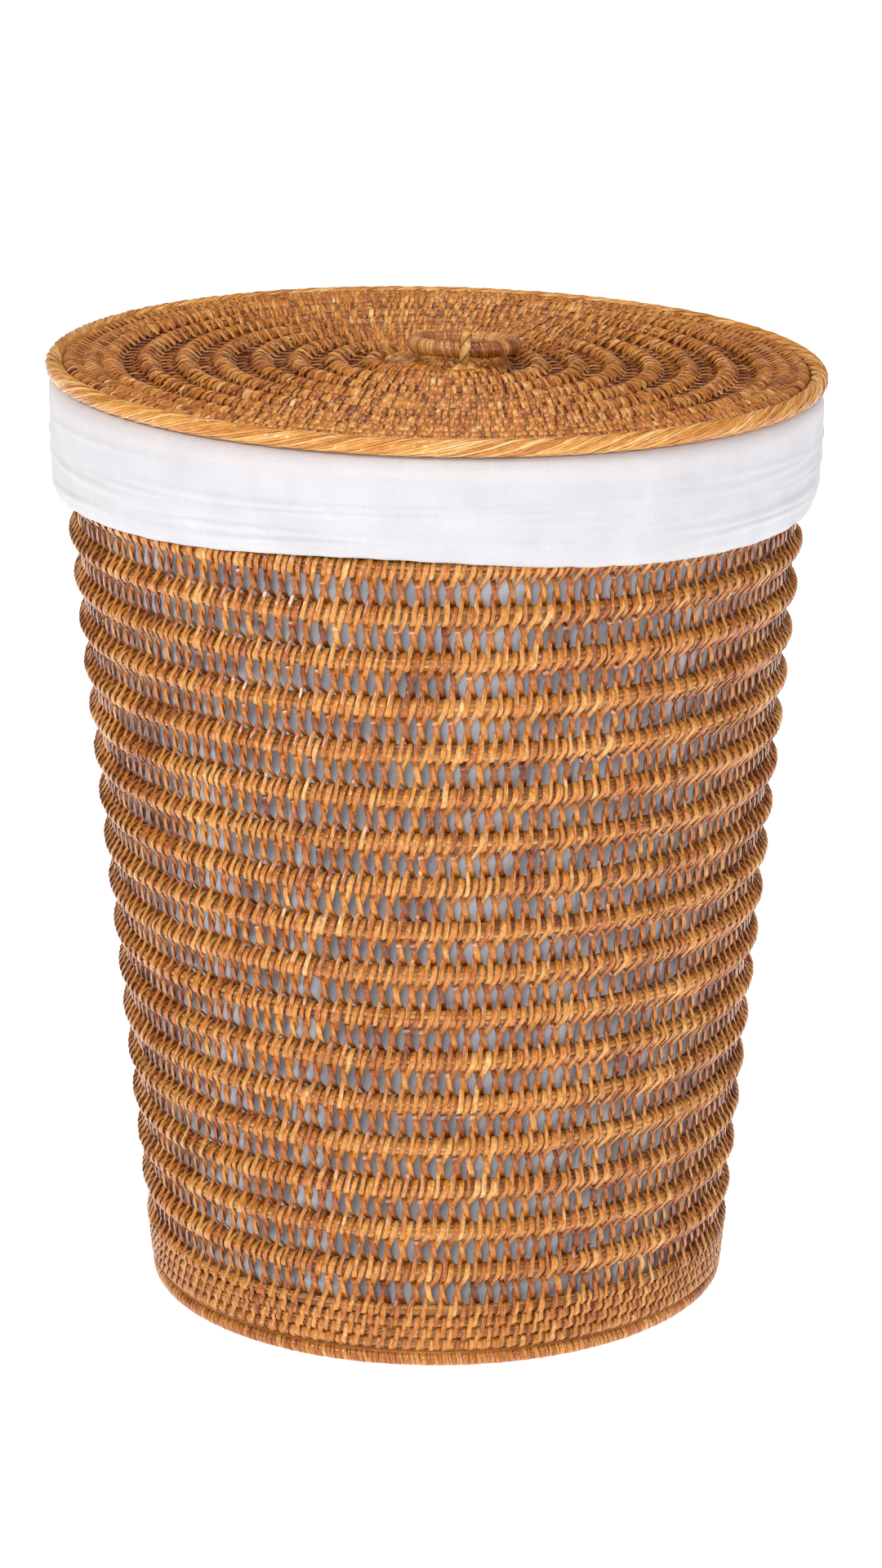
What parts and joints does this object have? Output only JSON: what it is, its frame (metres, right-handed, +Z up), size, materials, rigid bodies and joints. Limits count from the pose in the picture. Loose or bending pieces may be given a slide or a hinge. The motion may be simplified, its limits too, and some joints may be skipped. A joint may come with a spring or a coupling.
{
  "type": "laundry basket woven",
  "caption": "Round tapered woven rattan laundry basket with a lift-off lid, a ring handle and a removable cotton liner.",
  "frame": {"origin": "on the floor, at the centre of the foot hoop", "axes": "+Z up through the lid, -Y towards the front, +X to the viewer's right"},
  "size_m": [0.4599, 0.46, 0.5889],
  "materials": {
    "wrapped_cane": "satin, varnished cane strips",
    "reed_core": "satin, varnished reeds",
    "lacing_cane": "satin, varnished cane strips",
    "rope_border": "satin, varnished cane strips",
    "handle_cane": "glossy, varnished cane strips",
    "cotton": "plain weave cotton"
  },
  "bodies": {
    "basket": {"foot_hoop_core": "reed_core", "foot_hoop_binding": "wrapped_cane", "base_coil": "wrapped_cane", "base_edge_coil": "wrapped_cane", "base_lacing": "lacing_cane", "wall_dense_row_1": "wrapped_cane", "wall_dense_row_2": "wrapped_cane", "wall_dense_row_3": "wrapped_cane", "wall_dense_row_4": "wrapped_cane", "wall_lacing_dense": "lacing_cane", "wall_turn_01": "wrapped_cane", "wall_turn_02": "wrapped_cane", "wall_turn_03": "wrapped_cane", "wall_turn_04": "wrapped_cane", "wall_turn_05": "wrapped_cane", "wall_turn_06": "wrapped_cane", "wall_turn_07": "wrapped_cane", "wall_turn_08": "wrapped_cane", "wall_turn_09": "wrapped_cane", "wall_turn_10": "wrapped_cane", "wall_turn_11": "wrapped_cane", "wall_turn_12": "wrapped_cane", "wall_turn_13": "wrapped_cane", "wall_turn_14": "wrapped_cane", "wall_turn_15": "wrapped_cane", "wall_turn_16": "wrapped_cane", "wall_turn_17": "wrapped_cane", "wall_turn_18": "wrapped_cane", "wall_lacing_open": "lacing_cane", "rim_hoop_core": "reed_core", "rim_hoop_binding": "wrapped_cane"},
    "liner": {"liner_bag_wall": "cotton", "liner_bag_bottom": "cotton", "liner_cuff": "cotton", "liner_hem": "cotton"},
    "lid": {"lid_centre": "wrapped_cane", "lid_coil_1": "wrapped_cane", "lid_coil_2": "wrapped_cane", "lid_coil_3": "wrapped_cane", "lid_coil_4": "wrapped_cane", "lid_coil_5": "wrapped_cane", "lid_coil_6": "wrapped_cane", "lid_coil_7": "wrapped_cane", "lid_coil_8": "wrapped_cane", "lid_border_coil_1": "wrapped_cane", "lid_border_coil_2": "wrapped_cane", "lid_rope_border_core": "reed_core", "lid_rope_border_binding": "rope_border", "lid_lacing": "lacing_cane", "lid_locating_ring": "wrapped_cane", "handle_tie": "handle_cane"},
    "ring_handle": {"handle_ring_core": "reed_core", "handle_ring_binding": "handle_cane"}
  },
  "joints": [
    {"name": "liner_lift", "type": "slide", "parent": "basket", "child": "liner", "axis": [0.0209, 0, 0.9998], "range_m": [0, 0.56]},
    {"name": "lid_lift", "type": "slide", "parent": "liner", "child": "lid", "axis": [0.0209, 0, 0.9998], "range_m": [0, 0.35]},
    {"name": "handle_swing", "type": "hinge", "parent": "lid", "child": "ring_handle", "pos_m": [0.01657, -0.027, 0.57716], "axis": [0.9998, 0, -0.0209], "range_deg": [0, 189]}
  ]
}
